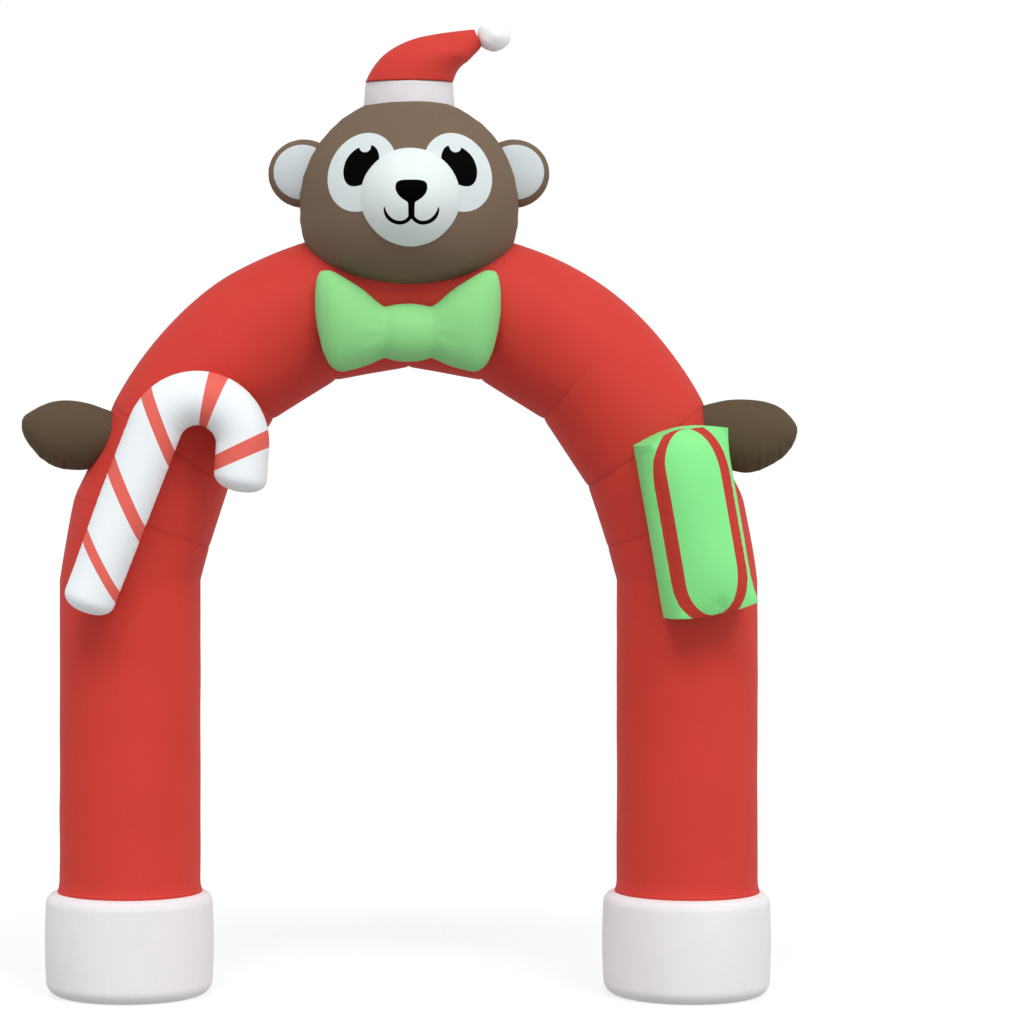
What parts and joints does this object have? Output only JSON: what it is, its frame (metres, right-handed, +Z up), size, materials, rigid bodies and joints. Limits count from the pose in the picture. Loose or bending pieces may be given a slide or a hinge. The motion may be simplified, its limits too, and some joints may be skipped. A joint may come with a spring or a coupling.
{
  "type": "inflatable arch",
  "caption": "Festive air-filled arch on drum feet, with an animal head in a stocking cap over the gateway, a bow tie, hands, a candy cane and a gift box.",
  "frame": {"origin": "middle of the bounding box at floor level", "axes": "+X to the viewer's right, +Y away from the viewer towards the back, +Z up"},
  "size_m": [2.666, 0.79, 3.365],
  "materials": {
    "red_cloth": "matt woven polyester",
    "white_cloth": "matt woven polyester",
    "brown_cloth": "matt woven polyester",
    "dark_brown_cloth": "matt woven polyester",
    "green_cloth": "matt woven polyester"
  },
  "bodies": {
    "root": {"foot_left": "white_cloth", "foot_right": "white_cloth", "leg_left": "red_cloth", "leg_right": "red_cloth", "shoulder_left": "red_cloth", "shoulder_right": "red_cloth", "crown": "red_cloth", "head": "brown_cloth", "muzzle": "white_cloth", "ear_left": "brown_cloth", "ear_right": "brown_cloth", "cap_band": "white_cloth", "cap_cone": "red_cloth", "pompom": "white_cloth", "bow_tie": "green_cloth", "hand_left": "dark_brown_cloth", "hand_right": "dark_brown_cloth", "candy_cane": "white_cloth", "gift_box": "green_cloth"}
  },
  "joints": []
}
